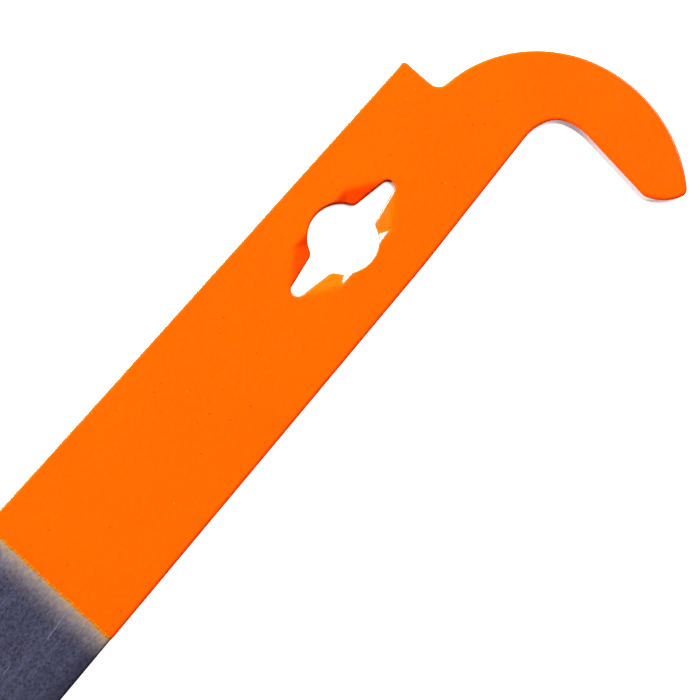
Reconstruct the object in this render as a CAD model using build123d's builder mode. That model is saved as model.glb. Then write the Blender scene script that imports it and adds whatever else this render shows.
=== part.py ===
"""Flat J-hook pry bar: a spring-steel bar and the enamel coat on its hook end.

The profile is drawn around the centre of the nail-puller hole, with +X towards the hook and the hook
hanging towards -Y. The finished pieces lie flat on Z = 0, centred on their common bounding box.
"""

from build123d import *
import os
from math import acos, cos, degrees, radians, sin, tan

# ---- driving dimensions, millimetres and degrees ----------------------------------------------------

overall_length = 265.0  # blade edge to the crown of the coated hook
steel_thickness = 3.0  # stock thickness of the strip
coat_thickness = 0.15  # enamel on every painted surface
edge_round = 0.6  # ground rounding along the rims of the steel
hole_edge_round = 0.3  # rounding of the steel around the hole

back_edge_y = 17.3  # straight back edge, from the centre line of the hole
front_edge_y = -18.65  # front edge, level with the hole
front_taper = 0.82  # degrees by which the bar widens towards the blade
front_lift = 2.3  # degrees by which the front edge rises towards the throat
lift_start_x = 8.0  # where that rise begins
lift_blend_radius = 400.0

shoulder_x = 43.0  # square shoulder on the back edge
shoulder_corner_radius = 1.0
notch_radius = 2.9  # fillet between the shoulder and the hook

hook_centre = (41.19, -29.36)  # centre of the outer arc of the hook
hook_radius = 35.5
hook_end_angle = -48.3  # where the outer arc stops, measured about its centre
tip_bulge = 1.4  # height of the arc across the end of the hook
tip_outer_radius = 2.0
tip_inner_radius = 3.0
hook_inner_point = (58.67, -34.53)  # a point on the straight inner side of the hook
hook_inner_lean = 6.7  # degrees by which that side leans back towards the bar
hook_inner_end_y = -48.1  # lower end of that side, at the tip of the hook

throat_arcs = ((15.0, 24.7), (7.3, 45.0))  # radius and turn of the throat's first two arcs
throat_last_radius = 13.5  # the third arc takes the rest of the turn, to the front edge

hole_radius = 8.62
hole_flat_depth = 0.22  # how far the four flats beside the slots stand in from the round hole
hole_flat_turn = 8.0  # degrees from where a slot's side meets the round hole to the middle of a flat
hole_corner_radius = 2.0  # where a flat turns into the side of a slot
hole_blend_radius = 3.0  # where the round hole turns into a flat
slot_tip_x = 18.25  # from the centre of the hole to the end of each nail slot
slot_tip_radius = 1.75
slot_half_angle = 9.8  # taper of each side of the slot

pocket_half_angle = 29.5  # crease of the bevel beside each slot, from the centre line
pocket_slope = 17.0  # degrees by which the bevel falls towards the slot
pocket_outer_gap = 0.18  # the crease runs from the tip of the slot to this far outside the hole ...
pocket_inner_share = (0.534, 0.766)  # ... and the end wall from there to this share of the hole's radius

paint_line_x = -103.05  # where the enamel stops on the centre line of the hole
paint_line_lean = 1.9  # degrees by which the paint line leans from square across the bar

blade_bevel_length = 14.0  # chisel bevel at the far end
blade_edge_thickness = 0.6
blade_corner_radius = 1.5

# ---- worked-out places ------------------------------------------------------------------------------

crown_x = hook_centre[0] + hook_radius
blade_x = crown_x + coat_thickness - overall_length
coated_thickness = steel_thickness + 2 * coat_thickness
slot_tip_centre_x = slot_tip_x - slot_tip_radius
hole_flat_distance = hole_radius - hole_flat_depth
slot_slope = tan(radians(slot_half_angle))
slot_root_y = slot_tip_radius / cos(radians(slot_half_angle)) + slot_tip_centre_x * slot_slope
slot_spread = hole_radius**2 * (1 + slot_slope**2) - slot_root_y**2
slot_side_x = (slot_root_y * slot_slope + slot_spread**0.5) / (1 + slot_slope**2)
hole_flat_angle = degrees(acos(slot_side_x / hole_radius)) + hole_flat_turn
pocket_outer_x = hole_radius + pocket_outer_gap
pocket_inner = (hole_radius * pocket_inner_share[0], hole_radius * pocket_inner_share[1])


def front_y(x):
    """Height of the front edge at x: one taper along the bar, a steeper one towards the throat."""
    if x <= lift_start_x:
        return front_edge_y + x * tan(radians(front_taper))
    return front_y(lift_start_x) + (x - lift_start_x) * tan(radians(front_lift))


def hook_inner_x(y):
    """Place of the hook's straight inner side at height y."""
    return hook_inner_point[0] + (y - hook_inner_point[1]) * tan(radians(hook_inner_lean))


# ---- profile of the steel, in the plane of the bar --------------------------------------------------

notch_x = shoulder_x + notch_radius
notch_reach = hook_radius + notch_radius
notch_y = hook_centre[1] + (notch_reach**2 - (notch_x - hook_centre[0]) ** 2) ** 0.5
arc_start = (
    hook_centre[0] + (notch_x - hook_centre[0]) * hook_radius / notch_reach,
    hook_centre[1] + (notch_y - hook_centre[1]) * hook_radius / notch_reach,
)
arc_end = (
    hook_centre[0] + hook_radius * cos(radians(hook_end_angle)),
    hook_centre[1] + hook_radius * sin(radians(hook_end_angle)),
)
inner_end = (hook_inner_x(hook_inner_end_y), hook_inner_end_y)
lift_start = (lift_start_x, front_y(lift_start_x))

# The throat turns from the hook's inner side to the front edge in three tangent arcs. Its span is what
# those arcs cover, and it sits where both ends meet their straight edges.
whole_turn = 90 + hook_inner_lean + front_lift
throat_turns = [*throat_arcs, (throat_last_radius, whole_turn - sum(turn for _, turn in throat_arcs))]
heading = 90 - hook_inner_lean
span_x = span_y = 0
for radius, turn in throat_turns:
    span_x += radius * (sin(radians(heading + turn)) - sin(radians(heading)))
    span_y += radius * (cos(radians(heading)) - cos(radians(heading + turn)))
    heading += turn
slope_product = tan(radians(hook_inner_lean)) * tan(radians(front_lift))
throat_y = (front_y(hook_inner_x(0) + span_x) - span_y) / (1 - slope_product)
inner_start = (hook_inner_x(throat_y), throat_y)

with BuildSketch() as profile:
    with BuildLine():
        Line((blade_x, back_edge_y), (shoulder_x, back_edge_y))
        Line((shoulder_x, back_edge_y), (shoulder_x, notch_y))
        TangentArc((shoulder_x, notch_y), arc_start, tangent=(0, -1))
        ThreePointArc(arc_start, (crown_x, hook_centre[1]), arc_end)
        SagittaArc(arc_end, inner_end, tip_bulge)
        Line(inner_end, inner_start)
        throat_end = inner_start
        throat_direction = (sin(radians(hook_inner_lean)), cos(radians(hook_inner_lean)))
        for radius, turn in throat_turns:
            throat_arc = JernArc(throat_end, throat_direction, radius, turn)
            throat_end, throat_direction = throat_arc @ 1, throat_arc % 1
        Line(throat_end, lift_start)
        Line(lift_start, (blade_x, front_y(blade_x)))
        Line((blade_x, front_y(blade_x)), (blade_x, back_edge_y))
    make_face()
    fillet(profile.vertices().sort_by_distance((shoulder_x, back_edge_y))[0], shoulder_corner_radius)
    fillet(profile.vertices().sort_by_distance(lift_start)[0], lift_blend_radius)
    fillet(profile.vertices().sort_by_distance(arc_end)[0], tip_outer_radius)
    fillet(profile.vertices().sort_by_distance(inner_end)[0], tip_inner_radius)

with BuildSketch() as hole:
    Circle(hole_radius)
    for end in (0, 180):
        for side in (hole_flat_angle, -hole_flat_angle):
            with PolarLocations(hole_flat_distance, 1, start_angle=end + side):
                Rectangle(hole_radius, hole_radius, align=(Align.MIN, Align.CENTER), mode=Mode.SUBTRACT)
    slot_tangent_x = slot_tip_centre_x + slot_tip_radius * sin(radians(slot_half_angle))
    slot_tangent_y = slot_tip_radius * cos(radians(slot_half_angle))
    for end in (1, -1):
        with BuildLine():
            Polyline(
                (0, slot_root_y),
                (end * slot_tangent_x, slot_tangent_y),
                (end * slot_tangent_x, -slot_tangent_y),
                (0, -slot_root_y),
                close=True,
            )
        make_face()
        with Locations((end * slot_tip_centre_x, 0)):
            Circle(slot_tip_radius)
    flat_normal = Vector(cos(radians(hole_flat_angle)), sin(radians(hole_flat_angle)))
    flat_at_root = hole_flat_distance - slot_root_y * flat_normal.Y
    corner_x = flat_at_root / (flat_normal.X - slot_slope * flat_normal.Y)
    corner_y = slot_root_y - corner_x * slot_slope
    flat_half_angle = degrees(acos(hole_flat_distance / hole_radius))
    blend_angle = hole_flat_angle + flat_half_angle
    blend_x = hole_radius * cos(radians(blend_angle))
    blend_y = hole_radius * sin(radians(blend_angle))
    for end in (1, -1):
        for side in (1, -1):
            corner = (end * corner_x, side * corner_y)
            fillet(hole.vertices().sort_by_distance(corner)[0], hole_corner_radius)
            blend = (end * blend_x, side * blend_y)
            fillet(hole.vertices().sort_by_distance(blend)[0], hole_blend_radius)


# ---- bevels beside the nail slots -------------------------------------------------------------------

crease_direction = Vector(-cos(radians(pocket_half_angle)), sin(radians(pocket_half_angle)))
crease_tip = Vector(
    slot_tip_centre_x + slot_tip_radius * sin(radians(pocket_half_angle)),
    slot_tip_radius * cos(radians(pocket_half_angle)),
)
crease_length = (crease_tip.X - pocket_outer_x) / cos(radians(pocket_half_angle))
pocket_outer = crease_tip + crease_direction * crease_length


def pocket_cutters(top, skin):
    """The four bodies that cut the bevels into a face at height top, each surface set back by skin."""
    downhill = Vector(-crease_direction.Y, crease_direction.X)
    uphill_normal = downhill * sin(radians(pocket_slope)) + Vector(0, 0, cos(radians(pocket_slope)))
    bevel = Plane(
        origin=crease_tip + Vector(0, 0, top - skin) + uphill_normal * skin,
        x_dir=crease_direction,
        z_dir=uphill_normal,
    )
    wall = Vector(*pocket_inner) - pocket_outer
    wall_shift = Vector(wall.Y, -wall.X).normalized() * -skin
    with BuildPart() as cutter:
        with BuildSketch():
            with BuildLine():
                Polyline(
                    crease_tip,
                    crease_tip - downhill * steel_thickness,
                    pocket_outer + wall_shift - downhill * steel_thickness,
                    pocket_outer + wall_shift,
                    Vector(*pocket_inner) + wall_shift,
                    (0, 0),
                    (slot_tip_centre_x, 0),
                    close=True,
                )
            make_face()
        extrude(amount=2 * steel_thickness)
        split(bisect_by=bevel, keep=Keep.TOP)
        mirror(about=Plane.XZ)
        mirror(about=Plane.YZ)
    return cutter.part


def round_rims(bar, hole_radius_of_rim, outer_radius_of_rim):
    """Round the upper and lower rims of a flat bar, except along its blade edge."""
    faces = bar.faces().sort_by(Axis.Z)
    hole_rims = [wire.edges() for face in (faces[0], faces[-1]) for wire in face.inner_wires()]
    fillet(hole_rims, hole_radius_of_rim)
    faces = bar.faces().sort_by(Axis.Z)
    outer_rims = [face.outer_wire().edges().sort_by(Axis.X)[1:] for face in (faces[0], faces[-1])]
    fillet(outer_rims, outer_radius_of_rim)


# ---- steel bar --------------------------------------------------------------------------------------

steel_bottom = coat_thickness
steel_top = steel_bottom + steel_thickness
steel_plane = Plane.XY.offset(steel_bottom)

with BuildPart() as steel_bar:
    with BuildSketch(steel_plane):
        add(profile.sketch)
        add(hole.sketch, mode=Mode.SUBTRACT)
    extrude(amount=steel_thickness)
    round_rims(steel_bar, hole_edge_round, edge_round)
    add(pocket_cutters(steel_top, 0), mode=Mode.SUBTRACT)
    with BuildSketch(Plane.XZ):
        with BuildLine():
            Polyline(
                (blade_x, steel_bottom + blade_edge_thickness),
                (blade_x + blade_bevel_length, steel_top),
                (blade_x, steel_top),
                close=True,
            )
        make_face()
    extrude(amount=overall_length, both=True, mode=Mode.SUBTRACT)
    with BuildSketch():
        for corner_y, side in ((back_edge_y, 1), (front_y(blade_x), -1)):
            with Locations((blade_x, corner_y)):
                Rectangle(2 * blade_corner_radius, 2 * blade_corner_radius)
            with Locations((blade_x + blade_corner_radius, corner_y - side * blade_corner_radius)):
                Circle(blade_corner_radius, mode=Mode.SUBTRACT)
    extrude(amount=coated_thickness, mode=Mode.SUBTRACT)

# ---- enamel coat: the coated shape less the steel inside it -----------------------------------------

with BuildSketch() as coated_profile:
    add(profile.sketch)
    offset(amount=coat_thickness)

with BuildSketch() as coated_hole:
    add(hole.sketch)
    offset(amount=-coat_thickness)

paint_line = Plane(
    origin=(paint_line_x, 0, 0),
    z_dir=(cos(radians(paint_line_lean)), -sin(radians(paint_line_lean)), 0),
)

with BuildPart() as paint_coat:
    with BuildSketch():
        add(coated_profile.sketch)
        add(coated_hole.sketch, mode=Mode.SUBTRACT)
    extrude(amount=coated_thickness)
    round_rims(paint_coat, hole_edge_round + coat_thickness, edge_round + coat_thickness)
    add(pocket_cutters(coated_thickness, coat_thickness), mode=Mode.SUBTRACT)
    split(bisect_by=paint_line, keep=Keep.TOP)
    add(steel_bar.part, mode=Mode.SUBTRACT)

# ---- finished pieces --------------------------------------------------------------------------------

whole_box = Compound([steel_bar.part, paint_coat.part]).bounding_box()
centring = Location((-whole_box.center().X, -whole_box.center().Y, 0))

steel_bar.part.label = "steel_bar"
paint_coat.part.label = "paint_coat"

os.makedirs("parts", exist_ok=True)
for piece in (steel_bar.part, paint_coat.part):
    piece.locate(centring)
    export_step(piece, f"parts/{piece.label}.step")
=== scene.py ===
"""Looks of a flat J-hook pry bar: a ground spring-steel bar and the glossy enamel on its hook end.

Laid out as a Blender add-on and run as a script. Lengths are metres in the row's frame: +X along the bar
towards the hook, +Y towards the straight back edge, +Z up. The bar is drawn about its nail hole.
"""

import math

import bpy
import numpy as np
from bpy.props import FloatProperty, FloatVectorProperty, IntProperty, PointerProperty
from mathutils import Matrix, Vector
from mathutils.geometry import delaunay_2d_cdt


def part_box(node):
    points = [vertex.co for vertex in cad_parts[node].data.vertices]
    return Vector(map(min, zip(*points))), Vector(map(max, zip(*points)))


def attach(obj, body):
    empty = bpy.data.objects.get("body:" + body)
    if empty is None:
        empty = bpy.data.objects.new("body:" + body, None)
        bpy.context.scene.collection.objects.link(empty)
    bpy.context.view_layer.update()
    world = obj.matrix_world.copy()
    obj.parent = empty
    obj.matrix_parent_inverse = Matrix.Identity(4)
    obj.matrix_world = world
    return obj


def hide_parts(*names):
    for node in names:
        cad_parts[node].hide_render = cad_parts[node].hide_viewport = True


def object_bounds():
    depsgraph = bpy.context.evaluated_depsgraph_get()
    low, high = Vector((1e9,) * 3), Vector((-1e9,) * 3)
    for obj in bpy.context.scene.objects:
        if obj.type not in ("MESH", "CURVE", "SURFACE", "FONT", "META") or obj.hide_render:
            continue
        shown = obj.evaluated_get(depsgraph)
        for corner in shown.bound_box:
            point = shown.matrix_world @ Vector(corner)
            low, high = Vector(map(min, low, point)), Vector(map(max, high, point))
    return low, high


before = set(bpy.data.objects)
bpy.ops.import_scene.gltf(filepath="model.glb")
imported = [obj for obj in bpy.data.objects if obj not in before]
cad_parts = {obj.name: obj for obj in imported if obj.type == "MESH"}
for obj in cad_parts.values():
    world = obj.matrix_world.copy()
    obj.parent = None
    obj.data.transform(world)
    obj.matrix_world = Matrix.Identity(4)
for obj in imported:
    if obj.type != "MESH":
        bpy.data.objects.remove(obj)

bl_info = {
    "name": "J-hook pry bar",
    "version": (1, 0, 0),
    "blender": (4, 5, 0),
    "location": "3D View > Sidebar > Pry Bar",
    "description": "Builds a flat J-hook pry bar with an enamelled hook end, and the studio it lies in",
    "category": "Object",
}

BODY = "root"
MM = 0.001
TO_MM = 1000.0
CAD_LOW, CAD_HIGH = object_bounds()
STEEL_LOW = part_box("steel_bar")[0]
COAT_LOW, COAT_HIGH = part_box("paint_coat")
SKIN = STEEL_LOW.z - COAT_LOW.z  # thickness of the enamel
THICKNESS = COAT_HIGH.z - COAT_LOW.z  # of the coated bar
BLADE_END = STEEL_LOW.x
PAINT_LINE_X = -103.05 * MM  # where the enamel stops on the centre line through the nail hole

# Hook end of the outline, about the nail hole.
LIFT_X = 8 * MM  # where the front edge starts to rise towards the throat
THROAT_ARCS = ((13.35 * MM, 29.3), (7.15 * MM, 45.0), (14.85 * MM, 24.7))  # radius and turn of each arc
INNER_EDGE = ((58.52 * MM, -34.53 * MM), -96.7)  # inner side of the hook: a place on it and its heading
TIP_END = ((68.04 * MM, -44.91 * MM), 11.57 * MM)  # blunt end of the hook: centre and radius
OUTER_CENTRE_Y = -29.36 * MM  # centre of the hook's outer arc
BLADE_CORNER = 1.5 * MM  # radii of the corners
LIFT_BLEND = 400 * MM
TIP_INNER_CORNER = 3.15 * MM
TIP_OUTER_CORNER = 2.15 * MM
SHOULDER_HOLLOW = 2.75 * MM
SHOULDER_CORNER = 1.3 * MM

# A quarter of the nail hole and of a slot, about the nail hole.
FLAT_PLACE = 8.4 * MM  # distance of the flat between hole and slot ...
FLAT_FACING = 30.13  # ... in this direction, in degrees
FLAT_HEADING = -59.87  # the flat's own direction
SLOT_TAPER = 9.8  # degrees from the centre line
SLOT_TIP_RADIUS = 1.6 * MM
FLAT_HOLLOW = 2.85 * MM  # radii where the flat meets the hole and the slot
SLOT_NOSE = 2.15 * MM

# Bevels pressed into the upper face beside the slots.
BEVEL_ANGLE = 35.0  # of the crease, degrees from the centre line
BEVEL_SLOPE = 20.0  # degrees
BEVEL_SOFTNESS = 0.4 * MM  # rounding of the crease
BEVEL_WALL = 7.1 * MM  # where the bevels end beside the hole
BEVEL_WALL_SLOPES = (38.0, 24.0)  # degrees, of their end walls on the front and back sides
BEVEL_WALL_SOFTNESS = 0.22 * MM
BEVEL_FADE = (-0.5 * MM, 1.3 * MM)  # run-out past the end of the crease
BEVEL_BLEND = 5  # how sharply the bevel turns into its end wall
NO_DEPTH = 1e-9  # keeps the blend away from a division by zero

# Spacing of the meshes.
OUTLINE_STEP = 0.9 * MM  # points along the outline
HOLE_STEP = 0.22 * MM  # points round the hole
CORNER_STEPS = 12  # fewest steps round a corner
CROWN_STEPS = 5
RIM_STEPS = 7
WALL_STEPS = 4
HOLE_RIM = (0.4 * MM, 0.03 * MM, 0.38 * MM)  # crown width, crown drop and radius round the hole
PATCH_HALF = (24 * MM, 12.5 * MM)  # half length and width of the finely meshed patch round the hole
PATCH_POWER = 2.6  # squareness of that patch
PATCH_STEPS = 4000  # places along its edge from which the points are taken
PATCH_RINGS = 34  # on the upper face
UNDERSIDE_RINGS = 7
RING_CROWDING = 1.35  # how far the rings crowd towards the hole
PATCH_MARGIN = 1.12  # loose points keep clear of the patch grown by this much
FACE_RINGS = (0.3 * MM, 1.0 * MM)  # rings of loose points, measured from the rims
FACE_CLEARANCES = (0.28 * MM, 0.95 * MM, 3.0 * MM)  # least distances from the rims: both rings and the grid
FACE_GRID = 4.5 * MM
BLADE_GRID = 1.5 * MM  # points across the crease of the blade's bevel
BLADE_CREASE = 0.4 * MM  # width of that crease

# The end of the coat.
LINE_ROWS = np.array((0, 0.06, 0.13, 0.22, 0.33, 0.48, 0.7, 1.0, 1.4, 1.9, 2.5)) * MM  # past the paint line
LINE_POINTS = 330  # across the bar in each of those rows
LINE_GAP = 0.5 * MM  # from the last row to the rest of the outline ...
LOOSE_GAP = 0.4 * MM  # ... and to the loose points of the faces
LINE_FEATHER = (-0.15 * MM, 0.9 * MM)  # where the coat grows from thin to full
LINE_FADE = (0.5 * MM, 2.3 * MM)  # where the raggedness dies out
LINE_WAVES = ((0.06, 0.9), (0.05, 1.9), (0.05, 3.7), (0.05, 7.5), (0.04, 13))  # height in mm, radians a mm
COAT_OUTSIDE = (1.0, 0.12)  # share of the coat's thickness at its outer skin: full, and at the paint line
COAT_INSIDE = (0.03, 0.03)  # the same at its inner skin, which lies just off the steel
HOLE_SHADE = 0.35  # added to the share of the coat on the hole's walls ...
HOLE_SHADE_TURN = 0.65  # ... and this on top of it on the walls that face the front edge

SCRATCHES = (  # on the bare steel: x of both ends, y at x = 0, slope and strength
    (-112.9 * MM, -106.1 * MM, 0.45 * MM, 0.088, 0.9),
    (-124.5 * MM, -121.0 * MM, 3.6 * MM, 0.088, 0.55),
    (-131.0 * MM, -119.5 * MM, 9.0 * MM, 0.01, 0.25),
)
SCRATCH_COLOUR = (0.2, 0.21, 0.25)
SPECKS = (  # in the enamel: spots a metre, size, shift, share and colour
    (330, 0.08, (3, 1, 2), 0.8, (0.42, 0.006, 0.0)),
    (210, 0.05, (1, 4, 2), 0.8, (1.0, 0.16, 0.002)),
)

LIGHTS = (  # name, place from the middle of the bar, width, and the studio value with its power
    ("KeyLight", (0.2, 1.1, 0.42), 0.8, "key_power"),
    ("FillLight", (1.0, -0.15, 0.5), 0.6, "fill_power"),
)
FLOOR_HALF = 3.0
FLOOR_GAP = 0.02 * MM  # under the bar
CAMERA_FROM = (-0.06610, -0.01772, 0.27510)  # camera and what it looks at, about the hole's upper rim
CAMERA_AT = (-0.01931, -0.01841, 0)
CAMERA_UPWARDS = (0.7472, 0.6526, 0.1254)
CAMERA_SENSOR = 36  # millimetres
CAMERA_LENS = 61.71
CAMERA_CLIP = (0.01, 10)


# ---- sizes and finishes that a user would change ----------------------------------------------------


class BarSizes(bpy.types.PropertyGroup):
    """Shape of the bar, measured from the centre of the nail hole."""

    hole_from_crown: FloatProperty(
        name="Hole from crown",
        description="From the centre of the nail hole to the crown of the hook",
        default=0.07684,
        unit="LENGTH",
    )
    back_edge: FloatProperty(
        name="Back edge",
        description="From the centre of the hole to the straight back edge",
        default=0.01745,
        unit="LENGTH",
    )
    front_edge: FloatProperty(
        name="Front edge",
        description="From the centre of the hole to the front edge beside it",
        default=0.0188,
        unit="LENGTH",
    )
    front_taper: FloatProperty(
        name="Front taper",
        description="Angle by which the bar widens towards the blade",
        default=math.radians(0.82),
        subtype="ANGLE",
    )
    front_lift: FloatProperty(
        name="Front lift",
        description="Angle by which the front edge rises towards the throat",
        default=math.radians(2.3),
        subtype="ANGLE",
    )
    shoulder: FloatProperty(
        name="Shoulder",
        description="From the centre of the hole to the square shoulder",
        default=0.04315,
        unit="LENGTH",
    )
    hook_radius: FloatProperty(
        name="Hook radius", description="Outer arc of the hook", default=0.03565, unit="LENGTH"
    )
    crown_width: FloatProperty(
        name="Crown width",
        description="Width over which the coated face droops to its rim",
        default=0.0008,
        unit="LENGTH",
    )
    crown_drop: FloatProperty(
        name="Crown drop",
        description="How far the coated face droops before its rim",
        default=0.00017,
        unit="LENGTH",
    )
    rim_radius: FloatProperty(
        name="Rim radius",
        description="Rounding of the coated rims below the crown",
        default=0.00045,
        unit="LENGTH",
    )
    paint_lean: FloatProperty(
        name="Paint line lean",
        description="Angle of the paint line from square",
        default=math.radians(1.9),
        subtype="ANGLE",
    )
    hole_radius: FloatProperty(
        name="Hole radius", description="Nail hole inside the coat", default=0.00847, unit="LENGTH"
    )
    slot_reach: FloatProperty(
        name="Slot reach",
        description="From the centre of the hole to a slot's end",
        default=0.0181,
        unit="LENGTH",
    )
    bevel_length: FloatProperty(
        name="Blade bevel", description="Length of the chisel bevel", default=0.014, unit="LENGTH"
    )
    blade_thickness: FloatProperty(
        name="Blade thickness",
        description="Thickness left at the blade's edge",
        default=0.0006,
        unit="LENGTH",
    )


class EnamelFinish(bpy.types.PropertyGroup):
    """Look of the coat."""

    colour: FloatVectorProperty(
        name="Colour", description="Colour of the enamel", default=(1.0, 0.0635, 0.0), subtype="COLOR", size=3
    )
    deep_colour: FloatVectorProperty(
        name="Deep colour",
        description="Colour where the enamel pools or lies in grooves",
        default=(0.95, 0.039, 0.0),
        subtype="COLOR",
        size=3,
    )
    # Painted shade: a dark red laid over the steep rims and the hole's walls of the coat in place of the
    # shadow they lie in.
    painted_rim_shade: FloatVectorProperty(
        name="Rim colour",
        description="Colour of the steep rims",
        default=(0.09, 0.004, 0.0),
        subtype="COLOR",
        size=3,
    )
    thin_colour: FloatVectorProperty(
        name="Thin colour",
        description="Colour where the enamel runs thin over the steel",
        default=(0.33, 0.105, 0.002),
        subtype="COLOR",
        size=3,
    )
    roughness: FloatProperty(
        name="Roughness", description="Roughness of the enamel", default=0.17, min=0.0, max=1.0
    )
    peel: FloatProperty(
        name="Orange peel", description="Strength of the orange-peel texture", default=0.12, min=0.0, max=1.0
    )


class SteelFinish(bpy.types.PropertyGroup):
    """Look of the bare steel."""

    colour: FloatVectorProperty(
        name="Colour",
        description="Colour of the ground steel",
        default=(0.048, 0.049, 0.094),
        subtype="COLOR",
        size=3,
    )
    haze_colour: FloatVectorProperty(
        name="Haze colour",
        description="Colour of the overspray beside the paint line",
        default=(0.165, 0.123, 0.088),
        subtype="COLOR",
        size=3,
    )
    overspray_colour: FloatVectorProperty(
        name="Overspray colour",
        description="Colour of the densest overspray, right at the paint line",
        default=(0.24, 0.145, 0.06),
        subtype="COLOR",
        size=3,
    )
    haze_length: FloatProperty(
        name="Haze length", description="How far the overspray reaches", default=0.007, unit="LENGTH"
    )
    roughness: FloatProperty(
        name="Roughness", description="Roughness of the steel", default=0.36, min=0.0, max=1.0
    )


class StudioLook(bpy.types.PropertyGroup):
    """Floor, lights and camera."""

    floor_colour: FloatVectorProperty(
        name="Floor colour",
        description="Colour of the floor",
        default=(0.93, 0.93, 0.93),
        subtype="COLOR",
        size=3,
    )
    floor_glow: FloatProperty(
        name="Floor glow",
        description="Light that the floor gives off, as a light table does",
        default=1.0,
        min=0.0,
    )
    key_power: FloatProperty(
        name="Key light", description="Power of the key light", default=103.0, unit="POWER"
    )
    fill_power: FloatProperty(
        name="Fill light", description="Power of the fill light", default=8.0, unit="POWER"
    )
    world_strength: FloatProperty(
        name="Surroundings", description="Brightness all round", default=0.02, min=0.0
    )
    camera_distance: FloatProperty(
        name="Camera distance", description="From the camera to the bar", default=0.27907, unit="LENGTH"
    )
    seed: IntProperty(name="Seed", description="Seed of the random draws", default=7)


# ---- outline of the bar -----------------------------------------------------------------------------


def left_of(direction):
    """The direction turned a quarter to the left."""
    return np.array((-direction[1], direction[0]))


def heading(degrees):
    """Unit direction at that angle."""
    return np.array((math.cos(math.radians(degrees)), math.sin(math.radians(degrees))))


def line(point, degrees):
    """A straight edge through point, with the metal on its left."""
    return "line", np.asarray(point, float), heading(degrees)


def circle(centre, radius):
    """A round edge, with the metal inside it, or outside it where the radius is negative."""
    return "circle", np.asarray(centre, float), radius


def inset_curve(curve, distance):
    """The curve moved into the metal by distance."""
    kind, place, value = curve
    if kind == "line":
        return kind, place + distance * left_of(value), value
    return kind, place, value - distance


def crossing(a, b, near):
    """Where two curves cross, at the crossing nearest to a point."""
    if a[0] == "line" and b[0] == "line":
        along, _ = np.linalg.solve(np.column_stack((a[2], -b[2])), b[1] - a[1])
        return a[1] + along * a[2]
    if a[0] == "circle" and b[0] == "circle":
        gap = b[1] - a[1]
        reach = np.linalg.norm(gap)
        along = (reach**2 + a[2] ** 2 - b[2] ** 2) / (2 * reach)
        middle, direction = a[1] + gap * along / reach, left_of(gap / reach)
        half = math.sqrt(a[2] ** 2 - along**2)
    else:
        straight, round_one = (a, b) if a[0] == "line" else (b, a)
        direction = straight[2]
        middle = straight[1] + direction * np.dot(round_one[1] - straight[1], direction)
        half = math.sqrt(round_one[2] ** 2 - np.linalg.norm(middle - round_one[1]) ** 2)
    both = (middle + half * direction, middle - half * direction)
    return min(both, key=lambda place: np.linalg.norm(place - near))


def touch(curve, centre):
    """Where a corner arc about centre touches the curve."""
    kind, place, value = curve
    if kind == "line":
        return place + value * np.dot(centre - place, value)
    return place + (centre - place) * abs(value) / np.linalg.norm(centre - place)


def round_corner(a, b, radius, near, step=OUTLINE_STEP):
    """(points, outward normals) of the corner where a turns into b, hollow where the radius is negative."""
    centre = crossing(inset_curve(a, radius), inset_curve(b, radius), near)
    size = abs(radius)
    start, stop = ((touch(c, centre) - centre) / size for c in (a, b))
    first = math.atan2(start[1], start[0])
    turn = math.atan2(start[0] * stop[1] - start[1] * stop[0], np.dot(start, stop))
    count = max(CORNER_STEPS, int(abs(turn) * size / step))
    angles = first + turn * np.linspace(0, 1, count + 1)
    normals = np.column_stack((np.cos(angles), np.sin(angles)))
    return centre + size * normals, normals * math.copysign(1, radius)


def along_curve(curve, start, stop, step=OUTLINE_STEP):
    """(points, outward normals) between two points of a curve, ends left out."""
    kind, place, value = curve
    length = np.linalg.norm(stop - start)
    share = np.linspace(0, 1, max(2, int(length / step)) + 1)[1:-1, None]
    if kind == "line":
        return start + (stop - start) * share, np.tile(-left_of(value), (len(share), 1))
    first, last = (math.atan2(*(p - place)[::-1]) for p in (start, stop))
    way = math.copysign(1, value)
    angles = first + way * ((way * (last - first)) % (2 * math.pi)) * share[:, 0]
    radial = np.column_stack((np.cos(angles), np.sin(angles)))
    return place + abs(value) * radial, way * radial


def throat_corner(lift, inner, arcs):
    """(points, outward normals) of the compound hollow corner of tangent arcs between two straight edges."""
    angle = math.atan2(lift[2][1], lift[2][0])
    points, normals, at = [np.zeros(2)], [-left_of(lift[2])], np.zeros(2)
    for radius, turn in arcs:
        steps = max(CORNER_STEPS, int(math.radians(turn) * radius / OUTLINE_STEP))
        centre = at - radius * left_of(np.array((math.cos(angle), math.sin(angle))))
        for share in np.linspace(0, 1, steps + 1)[1:]:
            normal = -left_of(heading(math.degrees(angle) - turn * share))
            points.append(centre - radius * normal)
            normals.append(normal)
        at, angle = points[-1], angle - math.radians(turn)
    shift, _ = np.linalg.solve(np.column_stack((lift[2], -inner[2])), inner[1] - lift[1] - at)
    return np.array(points) + lift[1] + shift * lift[2], np.array(normals)


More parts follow.
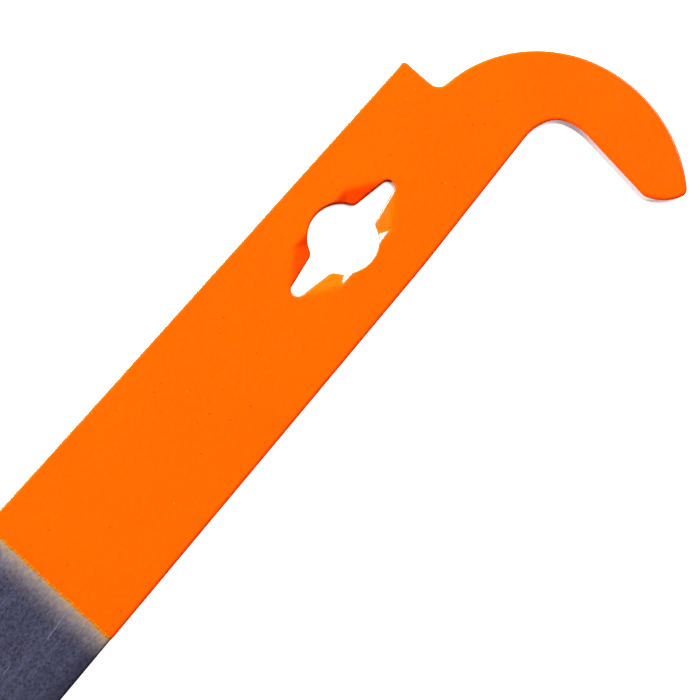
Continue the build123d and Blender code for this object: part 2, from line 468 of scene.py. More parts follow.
def outline(sizes):
    """(points, outward normals) of the coated outline about the nail hole, from the blade's front corner."""
    blade_x = BLADE_END - SKIN - hole_place(sizes).x
    front = line((0, -sizes.front_edge), math.degrees(sizes.front_taper))
    lift_y = -sizes.front_edge + LIFT_X * math.tan(sizes.front_taper)
    lift = line((LIFT_X, lift_y), math.degrees(sizes.front_lift))
    inner = line(*INNER_EDGE)
    end = circle(*TIP_END)
    outer = circle((sizes.hole_from_crown - sizes.hook_radius, OUTER_CENTRE_Y), sizes.hook_radius)
    shoulder = line((sizes.shoulder, 0), 90)
    back = line((0, sizes.back_edge), 180)
    blade = line((blade_x, 0), 270)

    # The last value only says which of two crossings is meant.
    corners = [
        round_corner(blade, front, BLADE_CORNER, (blade_x, -21 * MM)),
        round_corner(front, lift, LIFT_BLEND, (LIFT_X, lift_y)),
        throat_corner(lift, inner, THROAT_ARCS),
        round_corner(inner, end, TIP_INNER_CORNER, (57 * MM, -48 * MM)),
        round_corner(end, outer, TIP_OUTER_CORNER, (65 * MM, -56 * MM)),
        round_corner(outer, shoulder, -SHOULDER_HOLLOW, (43 * MM, 8 * MM)),
        round_corner(shoulder, back, SHOULDER_CORNER, (43 * MM, 17 * MM)),
        round_corner(back, blade, BLADE_CORNER, (blade_x, 17 * MM)),
    ]
    edges = [front, lift, inner, end, outer, shoulder, back, blade]
    points, normals = [], []
    for edge, corner, following in zip(edges, corners, corners[1:] + corners[:1]):
        between = along_curve(edge, corner[0][-1], following[0][0])
        points += [corner[0], between[0]]
        normals += [corner[1], between[1]]
    return np.vstack(points), np.vstack(normals)


def hole_place(sizes):
    """Centre of the nail hole in the row's frame, at the floor."""
    return Vector((COAT_HIGH.x - sizes.hole_from_crown, COAT_HIGH.y - sizes.back_edge, 0))


def hole_outline(sizes):
    """(points, normals into the opening) of the coated nail hole and its two slots, all the way round."""
    rim = circle((0, 0), -sizes.hole_radius)
    flat = line(FLAT_PLACE * heading(FLAT_FACING), FLAT_HEADING)
    slot_tip = circle((sizes.slot_reach - SLOT_TIP_RADIUS, 0), -SLOT_TIP_RADIUS)
    slot_normal = heading(90 - SLOT_TAPER)
    slot_end = slot_tip[1] + SLOT_TIP_RADIUS * slot_normal
    slot = line(slot_end, -SLOT_TAPER)
    top, tip = np.array((0, sizes.hole_radius)), np.array((sizes.slot_reach, 0))
    hollow = round_corner(rim, flat, -FLAT_HOLLOW, FLAT_PLACE * heading(43), HOLE_STEP)
    nose = round_corner(flat, slot, SLOT_NOSE, (8.5 * MM, 4.5 * MM), HOLE_STEP)
    spans = [
        (top[None], np.array(((0.0, -1.0),))),
        along_curve(rim, top, hollow[0][0], HOLE_STEP),
        hollow,
        along_curve(flat, hollow[0][-1], nose[0][0], HOLE_STEP),
        nose,
        along_curve(slot, nose[0][-1], slot_end, HOLE_STEP),
        (slot_end[None], -slot_normal[None]),
        along_curve(slot_tip, slot_end, tip, HOLE_STEP),
    ]
    quarter = np.vstack([span[0] for span in spans])
    facing = np.vstack([span[1] for span in spans])
    loops = []
    for values, last in ((quarter, tip), (facing, np.array((-1.0, 0.0)))):
        right = np.vstack((values, last[None], values[:0:-1] * (1, -1)))
        loops.append(np.vstack((right, -right)))
    return loops[0], loops[1]


def patch_edge(points):
    """Outer edge of the fine patch round the nail hole: a point for each point of the hole's outline."""
    turns = np.linspace(0, 2 * math.pi, PATCH_STEPS, endpoint=False)
    sides = zip(PATCH_HALF, (np.sin(turns), np.cos(turns)))
    ring = np.column_stack([half * np.sign(side) * np.abs(side) ** (2 / PATCH_POWER) for half, side in sides])
    along = [
        np.append(0, np.cumsum(np.linalg.norm(np.diff(loop, axis=0, append=loop[:1]), axis=1)))
        for loop in (points, ring)
    ]
    share = along[0][:-1] / along[0][-1] * along[1][-1]
    closed = np.vstack((ring, ring[:1]))
    return np.column_stack([np.interp(share, along[1], closed[:, axis]) for axis in (0, 1)])


def smooth(value, low, high):
    """0 below low, 1 above high and a smooth step between."""
    t = np.clip((value - low) / (high - low), 0, 1)
    return t * t * (3 - 2 * t)


def soft_rise(value, softness):
    """0 below 0 and value above it, with a turn of that softness between."""
    return softness * np.logaddexp(0, value / softness)


def bevel_depth(place, sizes):
    """How far the pressed bevels beside the nail slots lie below the face at each (x, y)."""
    x, y = np.abs(place[..., 0]), np.abs(place[..., 1])
    uphill = heading(90 - BEVEL_ANGLE)
    crease = np.array((sizes.slot_reach - SLOT_TIP_RADIUS, 0)) + SLOT_TIP_RADIUS * uphill
    inside = (crease[0] - x) * uphill[0] + (crease[1] - y) * uphill[1]
    fall = soft_rise(inside, BEVEL_SOFTNESS) * math.tan(math.radians(BEVEL_SLOPE))
    wall_slope = np.where(place[..., 1] < 0, *(math.tan(math.radians(angle)) for angle in BEVEL_WALL_SLOPES))
    wall = soft_rise(BEVEL_WALL - y, BEVEL_WALL_SOFTNESS) * wall_slope
    before_tip = 1 - smooth(x, *(crease[0] + gap for gap in BEVEL_FADE))
    lesser = sum((depth + NO_DEPTH) ** -BEVEL_BLEND for depth in (fall, wall)) ** (-1 / BEVEL_BLEND)
    return before_tip * lesser


# ---- meshes -----------------------------------------------------------------------------------------


class Sheet:
    """Vertices and faces of one closed surface, put together from strips and filled areas.

    A point is x, y, z and the share of the full coat there.
    """

    def __init__(self):
        self.points, self.faces, self.count = [], [], 0

    def add(self, points):
        """Adds points and returns their numbers, in the same layout."""
        self.points.append(points.reshape(-1, 4))
        numbers = np.arange(self.count, self.count + len(self.points[-1])).reshape(points.shape[:-1])
        self.count += numbers.size
        return numbers

    def strip(self, numbers, inner=False, closed=False):
        """Joins the rows of a grid of points with four-sided faces."""
        rows = np.vstack((numbers, numbers[:1])) if closed else numbers
        quads = [rows[:-1, :-1], rows[:-1, 1:], rows[1:, 1:], rows[1:, :-1]]
        self.faces += np.stack(quads[::-1] if inner else quads, axis=-1).reshape(-1, 4).tolist()

    def fill(self, triangles, numbers, downwards):
        """Adds triangles whose corners are places in a list of point numbers."""
        corners = np.asarray(numbers)[triangles]
        self.faces += (corners[:, ::-1] if downwards else corners).tolist()

    def build(self, name, place):
        """The Blender object, without points that no face uses."""
        points = np.vstack(self.points)
        used = sorted({number for face in self.faces for number in face})
        order = {number: k for k, number in enumerate(used)}
        mesh = bpy.data.meshes.new(name)
        mesh.from_pydata(points[used, :3].tolist(), [], [[order[k] for k in face] for face in self.faces])
        mesh.shade_smooth()
        coat = mesh.attributes.new("coat", "FLOAT", "POINT")
        coat.data.foreach_set("value", points[used, 3])
        piece = bpy.data.objects.new(name, mesh)
        piece.location = place
        bpy.context.scene.collection.objects.link(piece)
        return piece


def triangulate(places, loops, open_area):
    """Triangles (numbers of places) between closed loops, but none whose middle lies in open_area."""
    edges = [(loop[k - 1], loop[k]) for loop in loops for k in range(len(loop))]
    scaled = [Vector(place) for place in (places * TO_MM).tolist()]
    whole_hull, tolerance = 1, 1e-6
    _, _, faces, sources, _, _ = delaunay_2d_cdt(scaled, edges, [], whole_hull, tolerance)
    triangles = np.array([[sources[k][0] for k in face] for face in faces])
    return triangles[~open_area(places[triangles].mean(axis=1))]


def rim_section(crown_width, crown_drop, radius, under, top):
    """(inset, height) round the edge of the bar, from its upper face to its lower one.

    The coated face first droops by crown_drop over crown_width, and then turns down along an arc of that
    radius. under is how far below the enamel's surface this surface lies.
    """
    u = np.linspace(0, 1, CROWN_STEPS + 1)
    slope = np.arctan(3 * crown_drop / crown_width * u**2)
    tilt = np.linspace(slope[-1], math.pi / 2, RIM_STEPS + 1)[1:]
    across = np.append(crown_width * u, crown_width + radius * (np.sin(tilt) - math.sin(slope[-1])))
    drop = np.append(crown_drop * u**3, crown_drop + radius * (math.cos(slope[-1]) - np.cos(tilt)))
    tilt = np.append(slope, tilt)
    inset = across[-1] - across + under * np.sin(tilt)
    fall = drop + under * np.cos(tilt)
    wall = np.linspace(top - fall[-1], fall[-1], WALL_STEPS + 1)[1:-1]
    inset = np.concatenate((inset, np.full(len(wall), under), inset[::-1]))
    return inset, np.concatenate((top - fall, wall, fall[::-1]))


def outer_points(path, normals, share, sizes):
    """Grid of points round the rim at each point of the outline, where share of the coat is on."""
    rim = (sizes.crown_width, sizes.crown_drop, sizes.rim_radius)
    sections = [rim_section(*rim, SKIN * (1 - part), THICKNESS) for part in share]
    inset = np.array([section[0] for section in sections])
    height = np.array([section[1] for section in sections])
    narrow = blade_share(path[:, 0], sizes)[:, None]
    inset = SKIN + (inset - SKIN) * narrow
    height = SKIN + (height - SKIN) * narrow
    flat = path[:, None, :] - normals[:, None, :] * inset[..., None]
    return np.dstack((flat, height, np.repeat(share[:, None], inset.shape[1], axis=1)))


def rim_inset(sizes):
    """Width of the rims on the flat faces."""
    return rim_section(sizes.crown_width, sizes.crown_drop, sizes.rim_radius, 0, THICKNESS)[0][0]


def blade_share(x, sizes):
    """Share of the steel's thickness that the chisel bevel leaves at x."""
    edge = BLADE_END - hole_place(sizes).x
    steel = THICKNESS - 2 * SKIN
    return np.interp(x, (edge, edge + sizes.bevel_length), (sizes.blade_thickness / steel, 1))


def hole_points(share, sizes):
    """(grid of points, patch edge): over the bevels, through the nail hole and out along the underside."""
    path, normals = hole_outline(sizes)
    edge = patch_edge(path)
    inset, height = rim_section(*HOLE_RIM, SKIN * (1 - share), THICKNESS)
    rim = path[:, None, :] - normals[:, None, :] * inset[:, None]
    height = np.tile(height, (len(path), 1))
    height -= bevel_depth(rim, sizes) * smooth(height, 0.5 * THICKNESS, THICKNESS - HOLE_RIM[2])
    away = np.linspace(1, 0, PATCH_RINGS + 1)[:-1, None] ** RING_CROWDING
    upper = rim[:, :1] + (edge[:, None] - rim[:, :1]) * away
    upper_height = height[:, :1] + bevel_depth(rim[:, :1], sizes) - bevel_depth(upper, sizes)
    away = np.linspace(0, 1, UNDERSIDE_RINGS + 1)[1:, None] ** RING_CROWDING
    lower = rim[:, -1:] + (edge[:, None] - rim[:, -1:]) * away
    lower_height = np.tile(height[:, -1:], (1, len(away)))
    places = np.concatenate((upper, rim, lower), axis=1)
    heights = np.concatenate((upper_height, height, lower_height), axis=1)
    shares = np.full(heights.shape, share)
    shaded = (HOLE_SHADE + HOLE_SHADE_TURN * smooth(-normals[:, 1], -0.1, 0.5)[:, None]) * (share > 0.5)
    first = upper.shape[1] + CROWN_STEPS
    shares[:, first : first + RIM_STEPS + 2] += shaded
    return np.dstack((places, heights, shares)), edge


def face_places(path, normals, start_x, sizes):
    """Loose points that keep the flat faces' shading even: two rings inside the rim and a wide grid."""
    rings = [path - normals * (rim_inset(sizes) + gap) for gap in FACE_RINGS]
    spread = [np.arange(path[:, axis].min(), path[:, axis].max(), FACE_GRID) for axis in (0, 1)]
    grid = np.stack(np.meshgrid(*spread), axis=-1).reshape(-1, 2)
    places = np.vstack((*rings, grid))
    counts = (len(path), len(path), len(grid))
    wanted = np.repeat(rim_inset(sizes) + np.array(FACE_CLEARANCES), counts)
    clear = np.linalg.norm(places[:, None] - path[None], axis=2).min(axis=1) > wanted
    return places[clear & ~in_patch(places, PATCH_MARGIN) & (places[:, 0] > start_x)]


def in_patch(places, size=1.0):
    """Whether each (x, y) lies in the fine patch round the hole, grown by size."""
    return ((np.abs(places) / (np.array(PATCH_HALF) * size)) ** PATCH_POWER).sum(axis=-1) < 1


def ragged(y, z, lean, seed):
    """How far the leaning, ragged paint line lies before x = 0, at each place round the bar."""
    draw = np.random.default_rng(seed)
    shift = y * math.tan(lean)
    for size, waves in LINE_WAVES:
        phase, tilt = draw.uniform(0, 2 * math.pi), draw.uniform(0.5, 1.5)
        shift = shift + size * MM * np.sin(waves * TO_MM * (y + tilt * z) + phase + np.sin(0.7 * TO_MM * y))
    return shift


def make_steel(sizes):
    """Bar of bare steel: the whole blank, with the hook, hole and bevels under the coat and the blade."""
    sheet = Sheet()
    path, normals = outline(sizes)
    ring = outer_points(path, normals, np.zeros(len(path)), sizes)
    rim = sheet.add(ring)
    sheet.strip(rim, closed=True)
    around, edge = hole_points(0.0, sizes)
    hole = sheet.add(around)
    sheet.strip(hole, closed=True)

    loose = face_places(path, normals, path[:, 0].min(), sizes)
    bevel_x = BLADE_END - hole_place(sizes).x + sizes.bevel_length
    across = np.arange(-sizes.front_edge, sizes.back_edge, BLADE_GRID)[2:-1]
    creases = [np.column_stack((np.full_like(across, x), across)) for x in (bevel_x, bevel_x + BLADE_CREASE)]
    loose = np.vstack((loose, *creases))
    places = np.vstack((ring[:, 0, :2], edge, loose))
    loops = [list(range(len(path))), list(range(len(path), len(path) + len(edge)))]
    triangles = triangulate(places, loops, in_patch)
    narrow = blade_share(loose[:, 0], sizes)
    for column, height, downwards in ((0, THICKNESS - 2 * SKIN, False), (-1, 0.0, True)):
        inner = np.column_stack((loose, SKIN + height * narrow, np.zeros(len(loose))))
        numbers = np.concatenate((rim[:, column], hole[:, column], sheet.add(inner)))
        sheet.fill(triangles, numbers, downwards)
    return sheet.build("SteelBar", hole_place(sizes))


def make_enamel(sizes, seed):
    """Coat of enamel: a closed skin round the hook end that thins out and stops along a ragged line."""
    whole, whole_normals = outline(sizes)
    row_x = PAINT_LINE_X + LINE_ROWS
    kept = whole[:, 0] > row_x[-1] + LINE_GAP
    front = np.column_stack((row_x, -sizes.front_edge + row_x * math.tan(sizes.front_taper)))
    back = np.column_stack((row_x, np.full_like(row_x, sizes.back_edge)))[::-1]
    front_normals = np.tile((math.sin(sizes.front_taper), -math.cos(sizes.front_taper)), (len(row_x), 1))
    back_normals = np.tile((0.0, 1.0), (len(row_x), 1))
    path = np.vstack((front, whole[kept], back))
    normals = np.vstack((front_normals, whole_normals[kept], back_normals))
    edge = hole_points(1.0, sizes)[1]
    ring = path - normals * rim_inset(sizes)
    loose = face_places(path, normals, row_x[-1] + LOOSE_GAP, sizes)
    across = np.linspace(ring[0, 1], ring[-1, 1], LINE_POINTS)
    rows = [np.column_stack((np.full_like(across, x), across))[1:-1] for x in row_x[:-2]]
    places = np.vstack((ring, rows[0][::-1], edge, *rows[1:], loose))
    first = len(ring) + len(rows[0])
    loops = [list(range(first)), list(range(first, first + len(edge)))]
    triangles = triangulate(places, loops, in_patch)

    def thickness(x, full, least):
        """Share of the coat at x."""
        return least + (full - least) * smooth(x - PAINT_LINE_X, *LINE_FEATHER)

    sheet, end_loops = Sheet(), []
    for full, least, inner in ((*COAT_OUTSIDE, False), (*COAT_INSIDE, True)):
        rim = sheet.add(outer_points(path, normals, thickness(path[:, 0], full, least), sizes))
        hole = sheet.add(hole_points(full, sizes)[0])
        sheet.strip(rim, inner)
        sheet.strip(hole, inner, closed=True)
        flat = np.vstack((places[len(ring) : first], places[first + len(edge) :]))  # not on the strips
        share = thickness(flat[:, 0], full, least)
        ends = []
        for column, downwards in ((0, False), (-1, True)):
            height = SKIN * (1 - share) if downwards else THICKNESS - SKIN * (1 - share)
            added = sheet.add(np.column_stack((flat, height, share)))
            row, rest = added[: len(rows[0])], added[len(rows[0]) :]
            numbers = np.concatenate((rim[:, column], row, hole[:, column], rest))
            sheet.fill(triangles, numbers, downwards != inner)
            ends.append(row)
        end_loops.append(np.concatenate((rim[0], ends[1][::-1], rim[-1][::-1], ends[0])))
    sheet.strip(np.array([np.append(loop, loop[0]) for loop in end_loops]), inner=True)

    for points in sheet.points:
        fade = 1 - smooth(points[:, 0] - PAINT_LINE_X, *LINE_FADE)
        points[:, 0] += ragged(points[:, 1], points[:, 2], sizes.paint_lean, seed) * fade
    return sheet.build("EnamelCoat", hole_place(sizes))


# ---- materials --------------------------------------------------------------------------------------


class Nodes:
    """Shorthand for the node tree of a new material."""

    def __init__(self, name):
        self.material = bpy.data.materials.new(name)
        self.material.use_nodes = True
        self.tree = self.material.node_tree
        self.surface = self.tree.nodes["Principled BSDF"]
        self.place = self.add("ShaderNodeTexCoord").outputs["Object"]

    def add(self, kind, inputs=None, **settings):
        """A node with its settings and inputs: a value, or another node's output to link."""
        node = self.tree.nodes.new(kind)
        for key, value in settings.items():
            setattr(node, key, value)
        for key, value in (inputs or {}).items():
            self.set(node.inputs[key], value)
        return node

    def set(self, socket, value):
        """Gives a socket a value, or links another node's output to it."""
        if isinstance(value, bpy.types.NodeSocket):
            self.tree.links.new(value, socket)
        else:
            socket.default_value = value

    def stretched(self, scale, shift=(0, 0, 0)):
        """The object's coordinates, scaled along each axis."""
        inputs = {"Vector": self.place, "Scale": scale, "Location": shift}
        return self.add("ShaderNodeMapping", inputs).outputs[0]

    def noise(self, scale, detail=2.0, rough=0.5, stretch=(1, 1, 1), shift=(0, 0, 0)):
        """Noise from 0 to 1, of that many waves a metre."""
        place = self.stretched(stretch, shift)
        inputs = {"Vector": place, "Scale": scale, "Detail": detail, "Roughness": rough}
        return self.add("ShaderNodeTexNoise", inputs).outputs["Fac"]

    def spots(self, scale, size, shift=(0, 0, 0)):
        """1 in the middle of round spots scattered through space and 0 between them."""
        place = self.stretched((1, 1, 1), shift)
        cells = self.add("ShaderNodeTexVoronoi", {"Vector": place, "Scale": scale, "Randomness": 1.0})
        return self.ramp(cells.outputs["Distance"], size, size * 0.6)

    def ramp(self, value, low, high, first=0.0, last=1.0):
        """value moved smoothly from low..high to first..last."""
        inputs = {"Value": value, "From Min": low, "From Max": high, "To Min": first, "To Max": last}
        return self.add("ShaderNodeMapRange", inputs, interpolation_type="SMOOTHSTEP").outputs["Result"]

    def math(self, operation, *values):
        """The result of a sum on values or on other nodes' outputs."""
        node = self.add("ShaderNodeMath", operation=operation)
        for socket, value in zip(node.inputs, values):
            self.set(socket, value)
        return node.outputs[0]

    def blend(self, factor, a, b):
        """Colour a turned into b by factor."""
        node = self.add("ShaderNodeMix", data_type="RGBA")
        for key, value in (("Factor_Float", factor), ("A_Color", a), ("B_Color", b)):
            socket = next(one for one in node.inputs if one.identifier == key)
            self.set(socket, (*value, 1.0) if isinstance(value, tuple) and len(value) == 3 else value)
        return next(one for one in node.outputs if one.identifier == "Result_Color")

    def bump(self, height, strength, distance, normal=None):
        """The surface normal, roughened by height, on top of another normal where one is given."""
        inputs = {"Height": height, "Strength": strength, "Distance": distance}
        if normal is not None:
            inputs["Normal"] = normal
        return self.add("ShaderNodeBump", inputs).outputs["Normal"]

    def finish(self, **sockets):
        """Sets or links the shader's own sockets and returns the material."""
        for name, value in sockets.items():
            self.set(self.surface.inputs[name.replace("_", " ")], value)
        return self.material


def enamel_material(finish):
    """Glossy enamel with an orange-peel surface, dust specks and a thin olive rim at the paint line.

    The coat attribute is the share of the full coat, and goes on past 1 on the shaded walls of the hole.
    """
    n = Nodes("EnamelPaint")
    coat = n.add("ShaderNodeAttribute", attribute_name="coat").outputs["Fac"]
    facing = n.add("ShaderNodeSeparateXYZ", {"Vector": n.add("ShaderNodeNewGeometry").outputs["Normal"]})
    steep = n.ramp(n.math("ABSOLUTE", facing.outputs["Z"]), 0.78, 0.2)
    steep = n.math("MULTIPLY", steep, n.ramp(coat, 0.5, 0.9))
    mottle = n.ramp(n.noise(900, 4.0, 0.7), 0.35, 0.7, 0.0, 0.26)
    cloud = n.ramp(n.noise(45, 2.0, 0.5), 0.3, 0.7, 0.0, 0.12)
    shade = n.blend(n.math("ADD", mottle, cloud), tuple(finish.colour), tuple(finish.deep_colour))
    for scale, size, shift, share, speck in SPECKS:
        here = n.ramp(n.noise(90, 1.0, 0.5, shift=shift), 0.5, 0.57)
        spots = n.math("MULTIPLY", n.spots(scale, size, shift), here)
        shade = n.blend(n.math("MULTIPLY", spots, share), shade, speck)
    uneven = n.ramp(n.noise(1500, 3.0), 0.3, 0.7, -1.2, 0.5)
    torn = n.math("MULTIPLY", n.math("SUBTRACT", 1.0, coat), uneven)
    shade = n.blend(n.ramp(n.math("ADD", coat, torn), 0.8, 0.45), shade, tuple(finish.thin_colour))
    # Painted shade: the steep rims and the hole's walls turn dark red, as if they lay in shadow.
    shade = n.blend(steep, shade, tuple(finish.painted_rim_shade))
    peel = n.noise(620, 3.0, 0.55)
    wave = n.noise(150, 1.0, 0.5)
    normal = n.bump(peel, finish.peel, 0.0001)
    normal = n.bump(wave, finish.peel, 0.0004, normal)
    gloss = n.ramp(n.noise(400, 2.0), 0.3, 0.7, finish.roughness * 0.85, finish.roughness * 1.2)
    dull = n.math("MULTIPLY", n.ramp(coat, 0.6, 1.0), n.ramp(steep, 0.0, 1.0, 0.35, 1.0))
    outside = n.ramp(coat, 1.1, 1.7, 1.0, 0.0)
    dull = n.math("MULTIPLY", dull, outside)
    n.finish(Base_Color=shade, Roughness=gloss, Normal=normal, Specular_IOR_Level=dull)
    return n.finish(Coat_Weight=n.math("MULTIPLY", steep, outside), Coat_IOR=1.6, Coat_Roughness=0.08)


def steel_material(steel, enamel, sizes):
    """Ground steel with fine lengthwise grain and scratches, hazed with overspray beside the paint line."""
    colour = tuple(steel.colour)

    def shades(share):
        """The steel's colour at that share of its brightness."""
        return tuple(share * c for c in colour)

    n = Nodes("GroundSteel")
    split = n.add("ShaderNodeSeparateXYZ", {"Vector": n.place})
    x, y = split.outputs["X"], split.outputs["Y"]
    speckle = n.noise(2000, 4.0, 0.8, (0.7, 1.0, 1.0))
    grain = n.noise(1000, 4.0, 0.7, (0.12, 2.2, 1.0))
    streaks = n.noise(1000, 2.0, 0.5, (0.012, 0.35, 0.5), (2, 3, 1))
    scratches = n.noise(1000, 1.0, 0.4, (0.05, 3.0, 1.0), (7, 1, 4))
    tint = n.noise(2300, 3.0, 0.7, shift=(8, 8, 8))
    shade = n.blend(n.ramp(speckle, 0.33, 0.67), shades(0.2), shades(2.0))
    shade = n.blend(n.ramp(tint, 0.4, 0.65, 0.0, 0.6), shade, (1.25 * colour[0], colour[1], 0.6 * colour[2]))
    shade = n.blend(n.ramp(grain, 0.35, 0.7, 0.0, 0.3), shade, shades(0.7))
    shade = n.blend(n.ramp(streaks, 0.4, 0.65, 0.0, 0.3), shade, shades(0.7))
    shade = n.blend(n.ramp(streaks, 0.42, 0.3, 0.0, 0.3), shade, shades(1.7))
    shade = n.blend(n.ramp(scratches, 0.72, 0.8, 0.0, 0.6), shade, shades(2.4))
    for start, end, across, lean_share, share in SCRATCHES:
        off = n.math("ABSOLUTE", n.math("SUBTRACT", y, n.math("MULTIPLY_ADD", x, lean_share, across)))
        fades_in, fades_out = n.ramp(x, start - 0.5 * MM, start + 0.5 * MM), n.ramp(x, end + MM, end - MM)
        span = n.math("MULTIPLY", fades_in, fades_out)
        mark = n.math("MULTIPLY", n.math("MULTIPLY", n.ramp(off, 0.12 * MM, 0.03 * MM), span), share)
        shade = n.blend(n.math("MULTIPLY", mark, n.ramp(speckle, 0.3, 0.5)), shade, SCRATCH_COLOUR)
    # Painted shade: the bare steel darkens over the last few millimetres before its front edge, which turns
    # away from the key light.
    from_front = n.math("SUBTRACT", y, -sizes.front_edge - 1.5 * MM)
    shade = n.blend(n.ramp(from_front, 4.2 * MM, 1.2 * MM, 0.0, 0.55), shade, shades(0.35))

    patchy = n.noise(1300, 4.0, 0.7, (0.6, 1.0, 1.0), (4, 4, 4))
    uneven = n.math("MULTIPLY", n.math("SUBTRACT", patchy, 0.5), 0.8 * steel.haze_length)
    line_here = n.math("MULTIPLY_ADD", y, math.tan(sizes.paint_lean), PAINT_LINE_X)
    gone = n.math("ADD", n.math("SUBTRACT", line_here, x), uneven)
    left = n.math("MAXIMUM", n.math("SUBTRACT", 1.0, n.math("DIVIDE", gone, steel.haze_length)), 0.0)
    haze = n.math("MINIMUM", n.math("POWER", left, 1.5), 1.0)
    haze = n.math("MULTIPLY", haze, n.ramp(grain, 0.3, 0.6, 0.95, 0.7))
    near = n.ramp(gone, 0.25 * steel.haze_length, -0.02 * steel.haze_length)
    veil = n.blend(near, tuple(steel.haze_colour), tuple(steel.overspray_colour))
    shade = n.blend(haze, shade, veil)
    dots = n.spots(2300, 0.4, (1, 1, 1))
    fine = n.noise(1100, 1.0, 0.5, shift=(9, 2, 5))
    dense = n.ramp(n.math("ADD", fine, n.math("MULTIPLY", left, 0.35)), 0.83, 0.95, 0.0, 0.7)
    shade = n.blend(n.math("MULTIPLY", dots, dense), shade, tuple(enamel.thin_colour))

    metal = n.ramp(haze, 0.0, 0.6, 0.6, 0.1)
    rough = n.ramp(grain, 0.2, 0.8, steel.roughness * 0.8, steel.roughness * 1.3)
    rough = n.math("ADD", rough, n.math("MULTIPLY", haze, 0.25))
    relief = n.math("ADD", speckle, n.math("MULTIPLY", scratches, 0.5))
    normal = n.bump(relief, 0.3, 0.00003)
    return n.finish(Base_Color=shade, Metallic=metal, Roughness=rough, Normal=normal)


def floor_material(look):
    """Plain pale paper with a faint tooth."""
    n = Nodes("PaleFloor")
    tone = n.ramp(n.noise(900, 2.0), 0.3, 0.7)
    colour = tuple(look.floor_colour)
    shade = n.blend(tone, colour, tuple(0.985 * c for c in colour))
    n.finish(Base_Color=shade, Roughness=0.9, Specular_IOR_Level=0.1)
    return n.finish(Emission_Color=(1.0, 1.0, 1.0, 1.0), Emission_Strength=look.floor_glow)


# ---- stage ------------------------------------------------------------------------------------------


def area_light(name, place, target, size, power):
    """A round soft light of that width at place, facing target."""
    light = bpy.data.lights.new(name, "AREA")
    light.shape, light.size, light.energy = "DISK", size, power
    lamp = bpy.data.objects.new(name, light)
    lamp.location = place
    lamp.rotation_euler = (Vector(target) - Vector(place)).to_track_quat("-Z", "Y").to_euler()
    bpy.context.scene.collection.objects.link(lamp)


def make_camera(sizes, look):
    """Camera above the bar, a little towards the blade, turned so that the hook hangs down on the right."""
    top = hole_place(sizes) + Vector((0, 0, CAD_HIGH.z))
    target = top + Vector(CAMERA_AT)
    backwards = (top + Vector(CAMERA_FROM) - target).normalized()
    sideways = Vector(CAMERA_UPWARDS).cross(backwards).normalized()
    place = target + backwards * look.camera_distance
    data = bpy.data.cameras.new("StudioCamera")
    data.sensor_width, data.lens = CAMERA_SENSOR, CAMERA_LENS
    data.clip_start, data.clip_end = CAMERA_CLIP
    camera = bpy.data.objects.new("StudioCamera", data)
    turn = Matrix((sideways, backwards.cross(sideways), backwards)).transposed()
    camera.matrix_world = Matrix.Translation(place) @ turn.to_4x4()
    bpy.context.scene.collection.objects.link(camera)
    bpy.context.scene.camera = camera


def make_floor(look):
    """Wide plain floor just under the bar."""
    mesh = bpy.data.meshes.new("Floor")
    corners = [(x * FLOOR_HALF, y * FLOOR_HALF, 0) for x, y in ((-1, -1), (1, -1), (1, 1), (-1, 1))]
    mesh.from_pydata(corners, [], [(0, 1, 2, 3)])
    floor = bpy.data.objects.new("Floor", mesh)
    floor.location.z = CAD_LOW.z - FLOOR_GAP
    mesh.materials.append(floor_material(look))
    bpy.context.scene.collection.objects.link(floor)


def make_world(strength):
    """Dim even surroundings."""
    world = bpy.data.worlds.new("Studio")
    world.use_nodes = True
    background = world.node_tree.nodes["Background"]
    background.inputs["Color"].default_value = (1, 1, 1, 1)
    background.inputs["Strength"].default_value = strength
    bpy.context.scene.world = world


# ---- operators and panel ----------------------------------------------------------------------------


class PRYBAR_OT_steel(bpy.types.Operator):
    """Build the bare steel bar"""

    bl_idname = "prybar.steel"
    bl_label = "Build Steel Bar"

    def execute(self, context):
        scene = context.scene
        sizes = scene.prybar_sizes
        piece = make_steel(sizes)
        piece.data.materials.append(steel_material(scene.prybar_steel, scene.prybar_enamel, sizes))
        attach(piece, BODY)
        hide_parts("steel_bar")
        return {"FINISHED"}


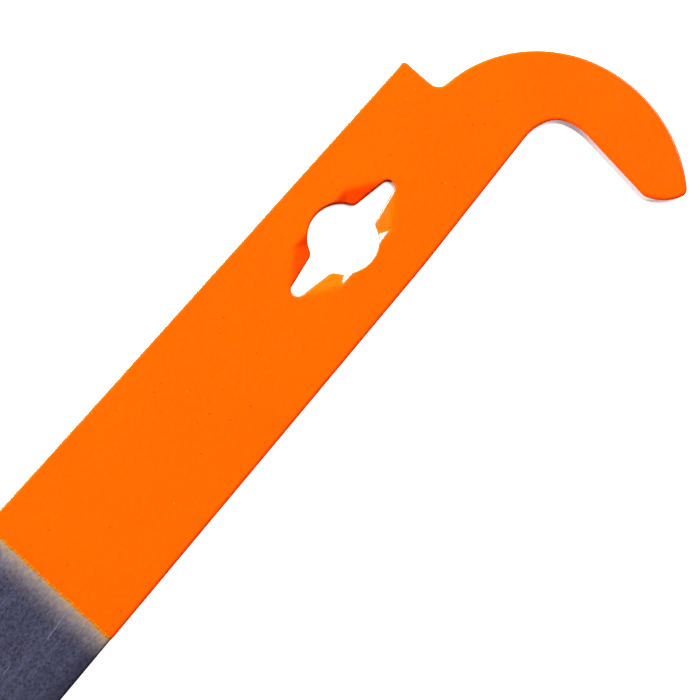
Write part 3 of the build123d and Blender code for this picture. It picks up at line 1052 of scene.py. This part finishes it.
class PRYBAR_OT_enamel(bpy.types.Operator):
    """Build the enamel coat on the hook end"""

    bl_idname = "prybar.enamel"
    bl_label = "Build Enamel Coat"

    def execute(self, context):
        scene = context.scene
        piece = make_enamel(scene.prybar_sizes, scene.prybar_studio.seed)
        piece.data.materials.append(enamel_material(scene.prybar_enamel))
        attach(piece, BODY)
        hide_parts("paint_coat")
        return {"FINISHED"}


class PRYBAR_OT_stage(bpy.types.Operator):
    """Set up the floor, lights and camera"""

    bl_idname = "prybar.stage"
    bl_label = "Build Studio"

    def execute(self, context):
        scene = context.scene
        look = scene.prybar_studio
        make_floor(look)
        make_world(look.world_strength)
        middle = (CAD_LOW + CAD_HIGH) / 2
        for name, offset, size, power in LIGHTS:
            area_light(name, middle + Vector(offset), middle, size, getattr(look, power))
        make_camera(scene.prybar_sizes, look)
        scene.view_settings.view_transform = "Standard"
        return {"FINISHED"}


class PRYBAR_PT_panel(bpy.types.Panel):
    """Sizes, finishes and build buttons of the pry bar"""

    bl_idname = "PRYBAR_PT_panel"
    bl_label = "J-Hook Pry Bar"
    bl_space_type = "VIEW_3D"
    bl_region_type = "UI"
    bl_category = "Pry Bar"

    def draw(self, context):
        layout = self.layout
        for name, _ in GROUPS:
            group = getattr(context.scene, name)
            box = layout.box()
            for key in group.__annotations__:
                box.prop(group, key)
        for operator in OPERATORS:
            layout.operator(operator.bl_idname)


GROUPS = (
    ("prybar_sizes", BarSizes),
    ("prybar_enamel", EnamelFinish),
    ("prybar_steel", SteelFinish),
    ("prybar_studio", StudioLook),
)
OPERATORS = (PRYBAR_OT_steel, PRYBAR_OT_enamel, PRYBAR_OT_stage)


def register():
    for name, group in GROUPS:
        bpy.utils.register_class(group)
        setattr(bpy.types.Scene, name, PointerProperty(type=group))
    for kind in (*OPERATORS, PRYBAR_PT_panel):
        bpy.utils.register_class(kind)


def unregister():
    for kind in (PRYBAR_PT_panel, *reversed(OPERATORS)):
        bpy.utils.unregister_class(kind)
    for name, group in reversed(GROUPS):
        delattr(bpy.types.Scene, name)
        bpy.utils.unregister_class(group)


def main():
    """Builds the pieces and the studio."""
    register()
    bpy.ops.prybar.steel()
    bpy.ops.prybar.enamel()
    bpy.ops.prybar.stage()


if __name__ == "__main__":
    main()
